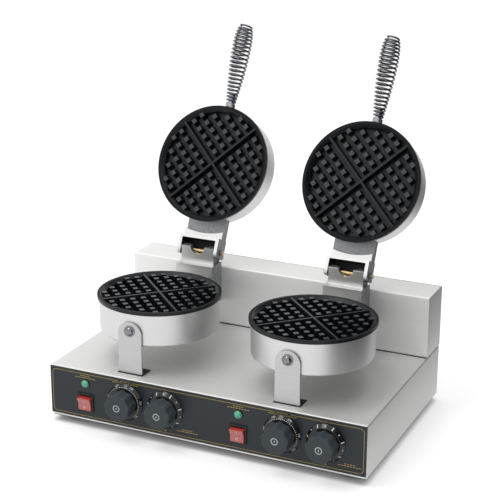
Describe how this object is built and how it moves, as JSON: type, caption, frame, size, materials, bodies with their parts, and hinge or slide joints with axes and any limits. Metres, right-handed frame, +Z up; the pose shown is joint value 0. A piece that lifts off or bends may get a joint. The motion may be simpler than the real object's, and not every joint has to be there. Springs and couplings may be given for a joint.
{
  "type": "twin waffle baker",
  "caption": "Counter-top baker with round deep-grid plates side by side, lids that swing back on cast hinges, spring-coil handles, dial knobs and rocker switches on a black front panel.",
  "frame": {"origin": "on the surface it stands on, below the middle of the whole box with the lids open", "axes": "+Z up, -Y to the front where the control panel is, +X to the right as seen from the front"},
  "size_m": [0.51, 0.4608, 0.5555],
  "materials": {
    "satin_steel": "satin, fine grain",
    "rubber": "matte",
    "panel_black": "satin black with thin gold lines",
    "zinc_steel": "bright zinc",
    "black_nylon": "matte",
    "nonstick": "cast aluminium with a black non-stick coat, satin",
    "heater_steel": "heat-darkened",
    "cast_aluminium": "fine sand cast, ground on the faces",
    "yellow_zinc": "yellow zinc",
    "chrome_wire": "bright",
    "black_plastic": "matte grip, glossy dial",
    "control_case": "plain",
    "lamp_green": "translucent lens",
    "switch_red": "glossy"
  },
  "bodies": {
    "base": {"base_cover": "satin_steel", "base_floor": "satin_steel", "feet": "rubber", "control_panel": "panel_black", "rear_housing": "satin_steel", "rear_cover": "satin_steel", "cover_screws": "zinc_steel", "cable_gland": "black_nylon", "bracket_bolts": "zinc_steel", "hinge_base_screws": "zinc_steel", "left_lower_case": "satin_steel", "left_lower_plate": "nonstick", "left_lower_heater": "heater_steel", "left_lower_clamp": "zinc_steel", "left_front_bracket": "satin_steel", "left_hinge_base": "cast_aluminium", "left_thermostat": "control_case", "left_timer": "control_case", "left_pilot_lamp": "lamp_green", "left_switch_body": "black_plastic", "right_lower_case": "satin_steel", "right_lower_plate": "nonstick", "right_lower_heater": "heater_steel", "right_lower_clamp": "zinc_steel", "right_front_bracket": "satin_steel", "right_hinge_base": "cast_aluminium", "right_thermostat": "control_case", "right_timer": "control_case", "right_pilot_lamp": "lamp_green", "right_switch_body": "black_plastic"},
    "left_lid": {"left_lid_case": "satin_steel", "left_lid_plate": "nonstick", "left_lid_heater": "heater_steel", "left_lid_clamp": "zinc_steel", "left_hinge_arm": "cast_aluminium", "left_arm_screws": "zinc_steel", "left_hinge_pin": "yellow_zinc", "left_hinge_nuts": "zinc_steel", "left_handle_stud": "zinc_steel", "left_handle_coil": "chrome_wire"},
    "left_thermostat_dial": {"left_thermostat_knob": "black_plastic", "left_thermostat_spindle": "zinc_steel"},
    "left_timer_dial": {"left_timer_knob": "black_plastic", "left_timer_spindle": "zinc_steel"},
    "left_switch_rocker": {"left_rocker": "switch_red"},
    "right_lid": {"right_lid_case": "satin_steel", "right_lid_plate": "nonstick", "right_lid_heater": "heater_steel", "right_lid_clamp": "zinc_steel", "right_hinge_arm": "cast_aluminium", "right_arm_screws": "zinc_steel", "right_hinge_pin": "yellow_zinc", "right_hinge_nuts": "zinc_steel", "right_handle_stud": "zinc_steel", "right_handle_coil": "chrome_wire"},
    "right_thermostat_dial": {"right_thermostat_knob": "black_plastic", "right_thermostat_spindle": "zinc_steel"},
    "right_timer_dial": {"right_timer_knob": "black_plastic", "right_timer_spindle": "zinc_steel"},
    "right_switch_rocker": {"right_rocker": "switch_red"}
  },
  "joints": [
    {"name": "left_lid_hinge", "type": "hinge", "parent": "base", "child": "left_lid", "pos_m": [-0.1265, 0.0507, 0.2148], "axis": [1, 0, 0], "range_deg": [0, 116]},
    {"name": "left_thermostat_turn", "type": "hinge", "parent": "base", "child": "left_thermostat_dial", "pos_m": [-0.1253, -0.2011, 0.0551], "axis": [0, 1, 0], "range_deg": [0, 270]},
    {"name": "left_timer_turn", "type": "hinge", "parent": "base", "child": "left_timer_dial", "pos_m": [-0.0589, -0.2011, 0.0551], "axis": [0, 1, 0], "range_deg": [0, 300]},
    {"name": "left_rocker_tip", "type": "hinge", "parent": "base", "child": "left_switch_rocker", "pos_m": [-0.1937, -0.2016, 0.0412], "axis": [1, 0, 0], "range_deg": [-22, 0]},
    {"name": "right_lid_hinge", "type": "hinge", "parent": "base", "child": "right_lid", "pos_m": [0.1265, 0.0507, 0.2148], "axis": [1, 0, 0], "range_deg": [0, 116]},
    {"name": "right_thermostat_turn", "type": "hinge", "parent": "base", "child": "right_thermostat_dial", "pos_m": [0.1277, -0.2011, 0.0551], "axis": [0, 1, 0], "range_deg": [0, 270]},
    {"name": "right_timer_turn", "type": "hinge", "parent": "base", "child": "right_timer_dial", "pos_m": [0.1941, -0.2011, 0.0551], "axis": [0, 1, 0], "range_deg": [0, 300]},
    {"name": "right_rocker_tip", "type": "hinge", "parent": "base", "child": "right_switch_rocker", "pos_m": [0.0593, -0.2016, 0.0412], "axis": [1, 0, 0], "range_deg": [-22, 0]}
  ]
}
